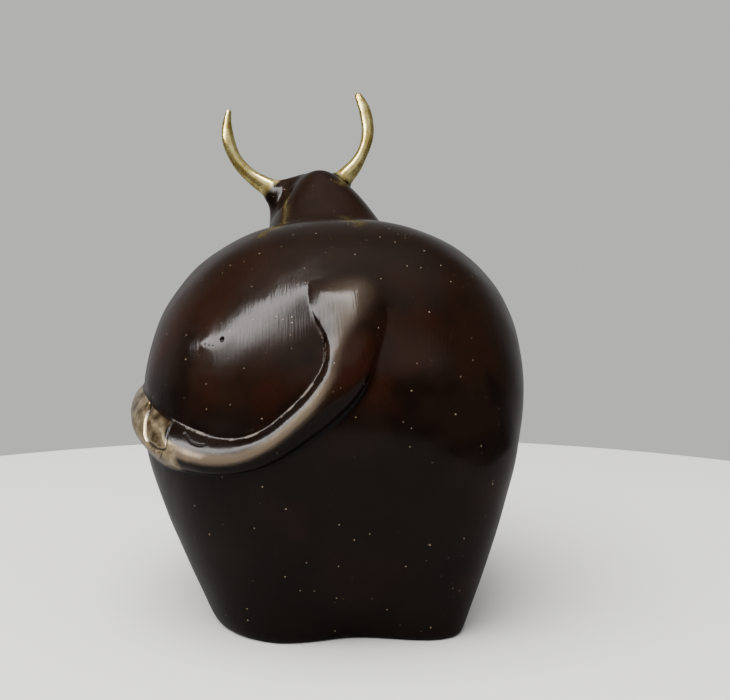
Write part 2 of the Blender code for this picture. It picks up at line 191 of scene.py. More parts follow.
head = {
    "x": -0.0031, "y": 0.073, "level": 0.157, "tilt": 8.2, "nod": 33.0,
    "halfWidth": 0.0210, "halfHeight": 0.0195, "length": 0.057, "power": 2.3,
    "muzzleHalfWidth": 0.0158, "muzzleHalfHeight": 0.0132,
    "ridgeLift": 0.0163, "ridgeWidth": 0.0405, "ridgeLength": 0.022, "ridgeHeight": 0.020,
    "stations": (-0.27, -0.20, -0.08, 0.10, 0.28, 0.46, 0.64, 0.80, 0.92, 0.98, 1.0),
    "taper": (0.0, 0.0, 0.0, 0.0, 0.10, 0.52, 0.92, 1.0, 1.0, 1.0, 1.0),
    "swell": (0.46, 0.82, 0.98, 1.03, 1.0, 0.96, 0.94, 1.03, 0.96, 0.70, 0.38),
    "sag": (0.0, 0.0, 0.0, 0.0, 0.04, 0.11, 0.20, 0.25, 0.28, 0.28, 0.28),
    "eyeLength": 0.0086, "eyeHeight": 0.0056, "eyeThickness": 0.0044,
    "nostril": 0.0060, "nostrilStretch": 1.4,
    # shares of half width, length and half height
    "eyePlace": (0.90, 0.34, 0.20), "nostrilPlace": (0.46, 0.98, -0.08),
    "earLength": 0.0240, "earWidth": 0.0105, "earThickness": 0.0064,
    "earOffset": 0.0265, "earForward": 0.16, "earLevel": -0.0110, "earDroop": 32, "earSweep": 12,
    "endBlend": 0.004, "ridgeBlend": 0.006, "eyeBlend": 0.0012, "nostrilBlend": 0.0025,
    "neckBlend": 0.005, "earBlend": 0.0025,
}

headPlace = Matrix.Translation((head["x"], head["y"], head["level"]))
headPlace = headPlace @ Matrix.Rotation(-radians(head["tilt"]), 4, "Y")
noddingPlace = headPlace @ Matrix.Rotation(-radians(head["nod"]), 4, "X")


def inside(place, p):
    # points seen from a placed frame
    m = np.array(place.inverted())
    return p @ m[:3, :3].T + m[:3, 3]


def neckField(p):
    s = neck
    share = (p[:, 1] - s["startY"]) / (s["crestY"] - s["startY"])
    rise = (s["top"] - s["coreLevel"]) * curveThrough(s["stations"], s["heights"], share)
    width = curveThrough(s["stations"], s["widths"], share)
    x, z = p[:, 0] - s["x"], p[:, 2] - s["coreLevel"]
    reach = np.where(x < 0, s["leftReach"], s["rightReach"]) * width
    n = s["power"]
    rho = ((np.abs(x) / reach) ** n + (np.abs(z) / rise) ** n + 1e-9) ** (1 / n)
    f = np.hypot(x, z) * (1 - 1 / rho)
    first = mix(s["startY"], s["crestY"], s["stations"][0])
    last = mix(s["startY"], s["crestY"], s["stations"][-1])
    ends = np.maximum(first - p[:, 1], p[:, 1] - last)
    return smoothMax(f, ends, s["endBlend"])


def skullField(p):
    s = head
    q = inside(noddingPlace, p)
    share = q[:, 1] / s["length"]
    taper = curveThrough(s["stations"], s["taper"], share)
    swell = curveThrough(s["stations"], s["swell"], share)
    halfWidth = mix(s["halfWidth"], s["muzzleHalfWidth"], taper) * swell
    halfHeight = mix(s["halfHeight"], s["muzzleHalfHeight"], taper) * swell
    z = q[:, 2] + curveThrough(s["stations"], s["sag"], share) * s["halfHeight"]
    n = s["power"]
    rho = ((np.abs(q[:, 0]) / halfWidth) ** n + (np.abs(z) / halfHeight) ** n + 1e-9) ** (1 / n)
    f = np.hypot(q[:, 0], z) * (1 - 1 / rho)
    ends = np.maximum(s["stations"][0] * s["length"] - q[:, 1], q[:, 1] - s["length"])
    return smoothMax(f, ends, s["endBlend"])


def pebbleField(p, place, size):
    q = inside(place, p)
    half = np.array(size) / 2
    rho = np.linalg.norm(q / half, axis=1) + 1e-9
    return np.linalg.norm(q, axis=1) * (1 - 1 / rho)


def facePoint(place, halfWidth, side=1):
    # middle of an eye or a nostril, seen from the nodding frame
    return side * halfWidth * place[0], place[1] * head["length"], place[2] * head["halfHeight"]


def headField(p):
    s = head
    f = skullField(p)
    ridge = headPlace @ Matrix.Translation((0, 0, s["ridgeLift"]))
    ridgeSize = (s["ridgeWidth"], s["ridgeLength"], s["ridgeHeight"])
    f = smoothMin(f, pebbleField(p, ridge, ridgeSize), s["ridgeBlend"])
    eyeSize = (s["eyeThickness"], s["eyeLength"], s["eyeHeight"])
    pitSize = (s["nostril"], s["nostril"] * s["nostrilStretch"], s["nostril"])
    for side in (-1, 1):
        eye = noddingPlace @ Matrix.Translation(facePoint(s["eyePlace"], s["halfWidth"], side))
        f = smoothMin(f, pebbleField(p, eye, eyeSize), s["eyeBlend"])
        pit = noddingPlace @ Matrix.Translation(facePoint(s["nostrilPlace"], s["muzzleHalfWidth"], side))
        f = smoothMax(f, -pebbleField(p, pit, pitSize), s["nostrilBlend"])
    return f


def earField(p):
    s = head
    size = (s["earLength"], s["earThickness"], s["earWidth"])
    f = np.full(len(p), 1.0)
    for side in (-1, 1):
        root = (side * s["earOffset"], s["earForward"] * s["length"], s["earLevel"])
        ear = headPlace @ Matrix.Translation(root)
        ear = ear @ Matrix.Rotation(side * radians(s["earSweep"]), 4, "Z")
        ear = ear @ Matrix.Rotation(side * radians(s["earDroop"]), 4, "Y")
        f = np.minimum(f, pebbleField(p, ear, size))
    return f


# horns

horn = {
    "spread": 0.0342, "rise": 0.0414, "sweep": 0.011, "rootOffset": 0.016, "rootLift": 0.0202,
    "rootDiameter": 0.0096, "middleDiameter": 0.0062, "tipDiameter": 0.0030, "rootEnd": 0.45, "tipFrom": 0.6,
    "sunk": 0.12, "blend": 0.004, "samples": 240,
    # shares of spread, sweep and rise
    "nearBend": (0.52, 0.20, 0.15), "farBend": (1.16, 0.45, 0.45), "tipSpread": 0.945,
}


def hornLine(share):
    s = horn
    share = np.asarray(share, float)[:, None]
    lift, rise = s["rootLift"], s["rise"]
    near, far = s["nearBend"], s["farBend"]
    start = np.array([s["rootOffset"], 0, lift])
    offset = mix(s["rootOffset"], s["spread"], near[0])
    first = np.array([offset, s["sweep"] * near[1], lift + rise * near[2]])
    second = np.array([s["spread"] * far[0], s["sweep"] * far[1], lift + rise * far[2]])
    last = np.array([s["spread"] * s["tipSpread"], s["sweep"], lift + rise])
    left = 1 - share
    return (left ** 3 * start + 3 * share * left ** 2 * first
            + 3 * share ** 2 * left * second + share ** 3 * last)


def hornRadius(share):
    s = horn
    root = (s["rootDiameter"] - s["middleDiameter"]) * (1 - ease(share / s["rootEnd"]))
    thinning = np.clip((share - s["tipFrom"]) / (1 - s["tipFrom"]), 0, 1) ** 3
    return 0.5 * (s["middleDiameter"] + root - (s["middleDiameter"] - s["tipDiameter"]) * thinning)


hornShares = np.linspace(-horn["sunk"], 1, horn["samples"])
hornPoints = hornLine(hornShares)
hornLength = np.linalg.norm(np.diff(hornPoints, axis=0), axis=1).sum()


def nearestIndex(p, line):
    # index of the nearest sample of a line for each point, worked out in blocks to save memory
    block = 4000
    found = np.zeros(len(p), int)
    size = (line * line).sum(axis=1)
    for start in range(0, len(p), block):
        part = p[start:start + block]
        found[start:start + block] = (size - 2 * part @ line.T).argmin(axis=1)
    return found


def hornPlace(p):
    # head frame with both horns folded onto one side
    q = inside(headPlace, p)
    q[:, 0] = np.abs(q[:, 0])
    return q


def hornField(p, near):
    q = hornPlace(p)
    onward = np.gradient(hornPoints, axis=0)
    onward /= np.linalg.norm(onward, axis=1)[:, None]
    delta = q - hornPoints[near]
    along = (delta * onward[near]).sum(axis=1)
    share = hornShares[near] + along / hornLength
    pastTip = np.clip(along, 0, None) * (near == len(hornPoints) - 1)
    pastRoot = np.clip(-along, 0, None) * (near == 0)
    across = np.linalg.norm(delta - along[:, None] * onward[near], axis=1)
    return np.hypot(across, pastTip + pastRoot) - hornRadius(np.clip(share, 0, 1))


# tail

tail = {
    "rootWidth": 0.027, "relief": 0.0062, "tuftRelief": 0.0056, "rootRelief": 0.0036, "samples": 900,
    # along the tail: turn round the barrel, share of its height, share of the root's width, share of tuft
    "turns": (-2.0, -2.8, -3.7, -3.0, -3.3, -5.0, -9.1, -14.3,
              -20.0, -26.0, -32.9, -39.9, -48.8, -60.0, -73.0, -86.0),
    "levels": (0.944, 0.874, 0.797, 0.740, 0.685, 0.629, 0.575, 0.527,
               0.485, 0.459, 0.450, 0.455, 0.464, 0.482, 0.512, 0.556),
    "widths": (0.89, 1.0, 0.985, 0.86, 0.675, 0.578, 0.505, 0.45,
               0.42, 0.435, 0.478, 0.56, 0.68, 0.775, 0.76, 0.65),
    "tufts": (0.0, 0.0, 0.0, 0.0, 0.0, 0.0, 0.0, 0.0, 0.0, 0.0, 0.08, 0.30, 0.60, 0.90, 1.0, 0.5),
    # where the crest lies across it, as a share of its width from the middle
    "crestShares": (0.0, 0.17, 0.23, 0.28, 0.34, 0.44, 0.55, 0.62, 0.70, 0.80, 0.90, 1.0),
    "crests": (-0.15, -0.15, -0.06, 0.05, 0.09, 0.06, 0.0, -0.05, -0.06, -0.02, 0.02, 0.02),
    # spans along it: a start and a length
    "riseSpan": (0.025, 0.135), "reliefSpan": (0.12, 0.18), "meltSpan": (0.12, 0.26),
    "creaseSpan": (0.100, 0.030), "facetSpan": (0.28, 0.16),
    "thinning": 0.20, "thinAt": 0.56, "thinReach": 0.13, "endFrom": 0.88, "endTaper": 0.72, "tuftMelt": 0.75,
    "beadPower": 2.3, "facetSlope": 0.62, "facetSoftness": 0.12,
    "meltPower": 1.6, "meltShare": 0.6, "meltTo": 0.5,
    "sinking": 1.2, "sunk": 0.002, "sunkUnder": 0.0012,
    "innerBlend": 0.0012, "outerBlend": 0.0010, "leastBlend": 0.00002, "edge": 1.6,
}


def barrelPoint(turn, z):
    # bisects outwards from the axis to the skin, for arrays of turns and heights
    farthest, halvings = 0.12, 30
    low, high = np.zeros_like(turn), np.full_like(turn, farthest)
    direction = np.stack([np.sin(turn), -np.cos(turn)], axis=1)
    for _ in range(halvings):
        middle = (low + high) / 2
        p = np.column_stack([barrel["spineX"] + direction[:, 0] * middle, direction[:, 1] * middle, z])
        out = barrelField(p) > 0
        high = np.where(out, middle, high)
        low = np.where(out, low, middle)
    return np.column_stack([barrel["spineX"] + direction[:, 0] * low, direction[:, 1] * low, z])


def gradient(field, p, value):
    # slope of a field, from its value and three more readings a hair away
    step = 0.00005
    slope = np.zeros_like(p)
    for axis in range(3):
        moved = p.copy()
        moved[:, axis] += step
        slope[:, axis] = (field(moved) - value) / step
    return slope


def unit(v):
    return v / np.maximum(np.linalg.norm(v, axis=1), 1e-12)[:, None]


tailShares = np.linspace(0, 1, tail["samples"])
tailTurns = np.radians(evenCurve(tail["turns"], tailShares))
tailPoints = barrelPoint(tailTurns, evenCurve(tail["levels"], tailShares) * barrel["backHeight"])
tailOnward = unit(np.gradient(tailPoints, axis=0))
tailOutward = unit(gradient(barrelField, tailPoints, barrelField(tailPoints)))
tailInner = unit(np.cross(tailOnward, tailOutward))
tailStep = np.linalg.norm(np.gradient(tailPoints, axis=0), axis=1)
tailTurning = np.gradient(tailInner, axis=0) / tailStep[:, None]
tailRun = np.concatenate([[0], np.cumsum(np.linalg.norm(np.diff(tailPoints, axis=0), axis=1))])


def tailPlace(p, near):
    # share along the tail, and distance across it towards its inner edge
    delta = p - tailPoints[near]
    onwards = (delta * tailOnward[near]).sum(axis=1)
    inner = tailInner[near] + tailTurning[near] * onwards[:, None]
    across = (delta * inner).sum(axis=1)
    return tailShares[near] + onwards / tailStep[near] / (tail["samples"] - 1), across


def tailSection(share):
    # width, relief, and how softly it melts into the barrel
    s = tail
    tufted = evenCurve(s["tufts"], share)
    width = s["rootWidth"] * evenCurve(s["widths"], share)
    relief = mix(s["rootRelief"], s["relief"], rising(share, s["reliefSpan"]))
    relief = relief * (1 - s["thinning"] * np.exp(-((share - s["thinAt"]) / s["thinReach"]) ** 2))
    relief = mix(relief, s["tuftRelief"], tufted)
    end = np.clip((share - s["endFrom"]) / (1 - s["endFrom"]), 0, 1)
    relief = relief * np.sqrt(np.maximum(1 - end ** 2, 0))
    width = width * (1 - s["endTaper"] * end ** 2)
    softness = np.maximum(1 - rising(share, s["meltSpan"]), s["tuftMelt"] * tufted)
    return width, np.maximum(relief, 1e-5), softness


def crossShare(across, width, share):
    # -1 at the outer edge, 0 on the crest and 1 at the inner edge
    lean = curveThrough(tail["crestShares"], tail["crests"], share)
    lean = np.where(np.abs(lean) < 1e-3, 1e-3, lean)
    inner = np.maximum(0.25 - 4 * lean * (across / width - lean), 0)
    return (0.5 - np.sqrt(inner)) / (2 * lean)


# carved lines of the tuft, as places along the tail and shares of its width across it
carvings = {
    "parting": {
        "depth": 0.0011, "halfWidth": 0.0007, "darkHalfWidth": 0.0006,
        "line": ((0.872, 0.47), (0.861, 0.42), (0.846, 0.20), (0.835, 0.06), (0.824, -0.04), (0.805, -0.05),
                 (0.787, -0.04), (0.777, 0.0)),
    },
    "pocket": {
        "depth": 0.0013, "halfWidth": 0.0013, "darkHalfWidth": 0.0013,
        "line": ((0.824, -0.05), (0.802, -0.05)),
    },
    "crack": {
        "depth": 0.0005, "halfWidth": 0.00026, "darkHalfWidth": 0.00032,
        "line": ((0.787, 0.44), (0.786, 0.38), (0.777, 0.19), (0.773, 0.04), (0.782, -0.06), (0.789, -0.17),
                 (0.803, -0.28), (0.822, -0.46)),
    },
    "strand": {
        "depth": 0.00035, "halfWidth": 0.0003,
        "line": ((0.748, 0.40), (0.735, 0.35), (0.722, 0.29), (0.705, 0.28), (0.692, 0.31)),
    },
}
carvedSpan = (0.66, 0.90)  # from and to, along the tail


def lineOnTail(share, across, line):
    # distance in metres from a line drawn on the tail
    x = np.interp(share, tailShares, tailRun)
    found = np.full(len(share), 1.0)
    ends = []
    for place, side in line:
        width = tail["rootWidth"] * float(evenCurve(tail["widths"], place))
        ends.append((float(np.interp(place, tailShares, tailRun)), side * width))
    for (x0, y0), (x1, y1) in zip(ends, ends[1:]):
        dx, dy = x1 - x0, y1 - y0
        t = np.clip(((x - x0) * dx + (across - y0) * dy) / (dx * dx + dy * dy), 0, 1)
        found = np.minimum(found, np.hypot(x - x0 - t * dx, across - y0 - t * dy))
    return found


def tuftCarving(share, across):
    depth = np.zeros(len(share))
    near = np.flatnonzero(share > carvedSpan[0])
    for carving in carvings.values():
        away = lineOnTail(share[near], across[near], carving["line"]) / carving["halfWidth"]
        depth[near] = np.maximum(depth[near], carving["depth"] * np.exp(-away ** 2))
    return depth


def tailField(p, out, near):
    # out is the distance from the barrel
    s = tail
    share, across = tailPlace(p, near)
    width, relief, softness = tailSection(share)
    a = crossShare(across, width, share)
    u = np.clip(np.abs(a), 0, 1)
    relief = np.maximum(relief * rising(share, s["riseSpan"]), 1e-5)
    up = np.maximum(out, 0)
    # outer side: a rounded bead with a crisp foot, or at the root a slope that melts into the rump
    n = s["beadPower"]
    rho = (np.abs(a) ** n + (up / relief) ** n + 1e-9) ** (1 / n)
    bead = np.hypot(a * width / 2, up) * (1 - 1 / rho)
    beyond = s["sinking"] * np.maximum(np.abs(across) - width / 2, 0)
    beyond = beyond + s["sunk"] * (1 - ease(relief / s["sunkUnder"]))
    swell = np.cos(0.5 * pi * u) ** 2
    melting = mix(swell, (1 - u) ** s["meltPower"], s["meltShare"] * (share < s["meltTo"]))
    outer = mix(bead, out + beyond - relief * melting, softness)
    # inner side: a swell at the root, then round, then a facet that steepens down to a sharp crease
    slid = softRise(u, s["facetSoftness"])
    facet = 1 - s["facetSlope"] * slid - (1 - s["facetSlope"]) * slid ** 4
    facet = mix(np.sqrt(np.maximum(1 - u * u, 0)), facet, rising(share, s["facetSpan"]))
    facet = mix(swell, facet, rising(share, s["creaseSpan"]))
    inner = out + beyond - relief * facet
    return np.where(a < 0, outer, inner) + tuftCarving(share, across), a, share


# unevenness left by hand finishing, and pinholes of the casting

finish = {
    # wavelength and height
    "waves": ((0.036, 0.00010), (0.024, 0.00007), (0.017, 0.00005), (0.011, 0.00002)),
    # turn round the barrel, level and radius
    "pits": ((-33.62, 0.1098, 0.00080), (-38.33, 0.1079, 0.00042), (-37.04, 0.1075, 0.00036),
             (-35.86, 0.1074, 0.00028)),
    "pitZone": 6, "pitBlend": 0.5,  # in radii
}
chance = np.random.default_rng(7)
waveRuns = []
for wavelength, height in finish["waves"]:
    for _ in range(3):
        heading = chance.normal(size=3)
        run = 2 * pi / wavelength * heading / np.linalg.norm(heading)
        waveRuns.append((run, chance.uniform(0, 2 * pi), height))
pitTurns, pitLevels, pitRadii = np.array(finish["pits"]).T
pitPoints = barrelPoint(np.radians(pitTurns), pitLevels)


def unevenness(p):
    return sum(height * np.sin(p @ run + start) for run, start, height in waveRuns)


# whole skin

skin = {
    "grain": 0.00175, "quickGrain": 0.0030, "evenRounds": 2, "fairRounds": 12, "fadeRounds": 4,
    "longestStep": 0.0015, "leastSlope": 0.05, "creaseReach": 0.0020, "slide": 0.4, "sharpAngle": 42,
    # where the tail, the neck and head, and the horns are looked for
    "tailFront": 0.05, "tailBottom": 0.045, "tailZone": 0.024,
    "neckBack": -0.02, "neckBottom": 0.065, "hornZone": 0.02,
    # what is left alone when the broad surfaces are evened out: metres, and radii of a pit
    "keptCrease": 0.005, "keptFace": 0.004, "keptPit": 4, "keptSole": 0.006,
    # finer faces: how far round eyes and nostrils, and where on the tail
    "eyeZone": 0.004, "nostrilZone": 0.005, "tailSpan": (0.05, 1.01), "tuftFrom": 0.68,
    "meltedOver": 0.9, "overBarrel": 0.009, "crackZone": 2.2, "pitMargin": 0.0004,
}


def findZones(p):
    # the points that tail, neck and head, and horns can reach, with the nearest samples of their lines
    s = skin
    rump = np.flatnonzero((p[:, 1] < s["tailFront"]) & (p[:, 2] > s["tailBottom"]))
    near = nearestIndex(p[rump], tailPoints)
    close = np.linalg.norm(p[rump] - tailPoints[near], axis=1) < s["tailZone"]
    front = np.flatnonzero((p[:, 1] > s["neckBack"]) & (p[:, 2] > s["neckBottom"]))
    folded = hornPlace(p[front])
    nearHorn = nearestIndex(folded, hornPoints)
    closeHorn = np.linalg.norm(folded - hornPoints[nearHorn], axis=1) < s["hornZone"]
    return rump[close], near[close], front, front[closeHorn], nearHorn[closeHorn]


def bullField(p, zones):
    # distance out of the whole bull, about true near its skin
    onTail, nearTail, front, onHorn, nearHorn = zones
    f = barrelField(p)
    tailOut, a, share = tailField(p[onTail], f[onTail], nearTail)
    outerBlend = tail["outerBlend"] * (1 - tailSection(share)[2])
    innerBlend = tail["innerBlend"] * rising(share, tail["creaseSpan"])
    blend = np.where(a < 0, outerBlend, innerBlend) + tail["leastBlend"]
    f[onTail] = np.where(np.abs(a) < tail["edge"], smoothMin(f[onTail], tailOut, blend), f[onTail])
    q = p[front]
    body = smoothMin(smoothMin(f[front], neckField(q), neck["blend"]), headField(q), head["neckBlend"])
    f[front] = smoothMin(body, earField(q), head["earBlend"])
    f[onHorn] = smoothMin(f[onHorn], hornField(p[onHorn], nearHorn), horn["blend"])
    for pit, radius in zip(pitPoints, pitRadii):
        close = np.flatnonzero(np.linalg.norm(p - pit, axis=1) < finish["pitZone"] * radius)
        hole = radius - np.linalg.norm(p[close] - pit, axis=1)
        f[close] = smoothMax(f[close], hole, radius * finish["pitBlend"])
    f = smoothMax(f + unevenness(p), -archField(p), barrel["archEdge"])
    return smoothMax(f, -p[:, 2], barrel["soleEdge"])


def settle(p, rounds):
    # moves points along the field's slope onto the skin
    for _ in range(rounds):
        zones = findZones(p)
        value = bullField(p, zones)
        slope = gradient(lambda q: bullField(q, zones), p, value)
        step = value[:, None] * slope / np.maximum((slope ** 2).sum(axis=1), skin["leastSlope"])[:, None]
        size = np.linalg.norm(step, axis=1)[:, None]
        p = p - step * np.minimum(1, skin["longestStep"] / np.maximum(size, 1e-9))
    return p


def pointsOf(mesh):
    flat = np.zeros(len(mesh.vertices) * 3)
    mesh.vertices.foreach_get("co", flat)
    return flat.reshape(-1, 3)


def toBarrel(p):
    # from the frame to the barrel's own axis, and back
    return p - [barrel["x"], barrel["y"], 0]


def fromBarrel(p):
    return p + [barrel["x"], barrel["y"], 0]


def relax(mesh, share=0.5):
    # slides each point towards the middle of its neighbours
    p = pointsOf(mesh)
    edges = np.zeros(len(mesh.edges) * 2, int)
    mesh.edges.foreach_get("vertices", edges)
    a, b = edges.reshape(-1, 2).T
    total, count = np.zeros_like(p), np.zeros(len(p))
    np.add.at(total, a, p[b])
    np.add.at(total, b, p[a])
    np.add.at(count, a, 1)
    np.add.at(count, b, 1)
    return mix(p, total / count[:, None], share)


def setPoints(mesh, p):
    mesh.vertices.foreach_set("co", p.ravel())
    mesh.update()


def makeSkin():
    # evenly spaced points of the solid, settled onto the field
    piece = addObject("bull_skin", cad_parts["bull"].data.copy())
    remesh = piece.modifiers.new("grain", "REMESH")
    remesh.mode = "VOXEL"
    remesh.voxel_size = skin["grain"]
    graph = bpy.context.evaluated_depsgraph_get()
    mesh = bpy.data.meshes.new_from_object(piece.evaluated_get(graph))
    piece.modifiers.clear()
    piece.data = mesh
    setPoints(mesh, fromBarrel(settle(toBarrel(pointsOf(mesh)), 4)))
    for _ in range(skin["evenRounds"]):
        setPoints(mesh, fromBarrel(settle(toBarrel(relax(mesh)), 1)))
    return piece


def nearFace(p, reach):
    # eyes, nostrils, ears and horns
    folded = inside(noddingPlace, p)
    folded[:, 0] = np.abs(folded[:, 0])
    eye = facePoint(head["eyePlace"], head["halfWidth"])
    nostril = facePoint(head["nostrilPlace"], head["muzzleHalfWidth"])
    near = np.linalg.norm(folded - eye, axis=1) < skin["eyeZone"] + reach
    near |= np.linalg.norm(folded - nostril, axis=1) < skin["nostrilZone"] + reach
    horns = nearestIndex(hornPlace(p), hornPoints)
    return near | (hornField(p, horns) < 0.5 * reach) | (earField(p) < 0.3 * reach)


def nearCrease(p, reach):
    # the tail's edges, and the whole of its tuft
    share, across = tailPlace(p, nearestIndex(p, tailPoints))
    width, _, softness = tailSection(share)
    edge = np.abs(across - width / 2) < reach
    edge |= (np.abs(across + width / 2) < reach) & (softness < skin["meltedOver"])
    onTuft = (np.abs(across) < width / 2) & (share > skin["tuftFrom"])
    start, end = skin["tailSpan"]
    return (edge | onTuft) & (share > start) & (share < end) & (np.abs(barrelField(p)) < skin["overBarrel"])


def nearCrack(p):
    share, across = tailPlace(p, nearestIndex(p, tailPoints))
    start, end = carvedSpan
    close = (share > start) & (share < end) & (np.abs(barrelField(p)) < skin["overBarrel"])
    found = np.zeros(len(p), bool)
    for carving in carvings.values():
        away = lineOnTail(share, across, carving["line"])
        found |= close & (away < skin["crackZone"] * carving["halfWidth"])
    return found


def nearPit(p, times):
    found = np.zeros(len(p), bool)
    for pit, radius in zip(pitPoints, pitRadii):
        found |= np.linalg.norm(p - pit, axis=1) < times * radius + skin["pitMargin"]
    return found


def fair(mesh, rounds):
    # evens out the broad surfaces and leaves creases, face and horns as they are
    p = pointsOf(mesh)
    q = toBarrel(p)
    kept = nearCrease(q, skin["keptCrease"]) | nearFace(q, skin["keptFace"]) | nearPit(q, skin["keptPit"])
    weight = 1 - (kept | (q[:, 2] < skin["keptSole"])).astype(float)
    for _ in range(skin["fadeRounds"]):
        setPoints(mesh, np.column_stack([weight] * 3))
        weight = np.minimum(weight, relax(mesh, 1.0)[:, 0])
    setPoints(mesh, p)
    for _ in range(rounds):
        now = pointsOf(mesh)
        setPoints(mesh, now + (relax(mesh) - now) * weight[:, None])


def refine(piece, wanted):
    # finer faces where the wanted rule holds for a face's middle
    bm = bmesh.new()
    bm.from_mesh(piece.data)
    middles = np.array([face.calc_center_median() for face in bm.faces])
    chosen = wanted(toBarrel(middles))
    edges = {edge for face, yes in zip(bm.faces, chosen) if yes for edge in face.edges}
    bmesh.ops.subdivide_edges(bm, edges=list(edges), cuts=1, use_grid_fill=True)
    bmesh.ops.triangulate(bm, faces=[face for face in bm.faces if len(face.verts) > 4])
    bm.to_mesh(piece.data)
    bm.free()


def settleSome(mesh, wanted, rounds, evenness=0.0):
    # settles only the points that the rule names
    q = toBarrel(pointsOf(mesh))
    chosen = wanted(q)
    for _ in range(rounds):
        if evenness:
            moved = toBarrel(relax(mesh, evenness))
            q[chosen] = moved[chosen]
        q[chosen] = settle(q[chosen], 1)
        setPoints(mesh, fromBarrel(q))


def smoothen(mesh, wanted, rounds):
    # takes the last zigzags out of a crease
    chosen = wanted(toBarrel(pointsOf(mesh)))
    for _ in range(rounds):
        p = pointsOf(mesh)
        p[chosen] = relax(mesh, skin["slide"])[chosen]
        setPoints(mesh, p)


bull = makeSkin()
print("stage 2: skin settled,", len(bull.data.vertices), "points,", len(bull.data.polygons), "faces")
fair(bull.data, skin["fairRounds"])
reach, slide = skin["creaseReach"], skin["slide"]
refine(bull, lambda p: nearCrease(p, reach) | nearPit(p, 3))
settleSome(bull.data, lambda p: nearCrease(p, 2 * reach), 2, slide)
refine(bull, lambda p: nearCrease(p, 0.5 * reach) | nearFace(p, 0.5 * reach) | nearPit(p, 2))
settleSome(bull.data, lambda p: nearCrease(p, 1.5 * reach) | nearFace(p, reach) | nearPit(p, 3), 3, slide)
refine(bull, lambda p: nearPit(p, 1.4) | nearCrack(p))
settleSome(bull.data, lambda p: nearPit(p, 2.5) | nearCrack(p), 2)
smoothen(bull.data, lambda p: nearCrease(p, 0.55 * reach) & ~nearCrack(p) & ~nearPit(p, 3), 2)
bull.data.shade_smooth()
bull.data.set_sharp_from_angle(angle=radians(skin["sharpAngle"]))
print("stage 3: skin refined,", len(bull.data.vertices), "points,", len(bull.data.polygons), "faces")


# where the patina is rubbed away or worn, where it is darkened by painted shade and shadow, and where
# highlights are painted in

rubbed = {
    # horns: where the metal comes through along them, later beneath, and how near their own skin
    "hornFrom": -0.10, "hornOver": 0.34, "hornBeneath": 0.06, "hornSkin": (0.0010, 0.0020),
    # tail: bare tuft and a thinner rub before it, as starts and lengths along it or across it
    "edgeFade": 0.08, "raisedSpan": (0.0002, 0.0006), "tuftSpan": (0.715, 0.085),
    "thinShare": 0.28, "thinSpan": (0.56, 0.18), "thinSide": (0.1, 0.4),
    # dark gutter on the tuft's inner side, patina darkened further by painted shade, and the duller second
    # lock
    "gutterSide": (0.30, 0.25), "gutterEnd": (0.780, 0.016), "gutterFrom": 0.3, "gutterPatinaAndShade": 0.45,
    "lockSide": (0.40, 0.4), "lockFrom": 0.78, "lockTo": 0.87, "lockDull": 0.70,
    # worn crease, whose pale line is partly wear and partly a painted highlight on the crease's fillet: along
    # the tail, and in millimetres from it
    "wornFrom": (0.20, 0.05), "wornTo": (0.76, 0.05), "wornReach": 4, "wornFade": 1.5,
    # painted shadow along the tail's outer foot, under its edge
    "footAt": 1.05, "footWidth": 0.12, "footSpan": (0.25, 0.1),
    # rubbed ridge, partly rubbed metal and partly a painted highlight: strength along the tail, its middle
    # and its spread across it
    "ridgeFaint": 0.17, "faintSpan": (0.09, 0.04), "ridgeSpan": (0.32, 0.14), "ridgeMiddle": 0.15,
    "ridgeShift": 0.35, "shiftAt": 0.27, "shiftReach": 0.12,
    "ridgeSpread": (0.45, 0.20), "narrowSpan": (0.15, 0.1),
}


def setShares(mesh, name, values):
    layer = mesh.attributes.new(name, "FLOAT", "POINT")
    layer.data.foreach_set("value", np.asarray(values, np.float32))


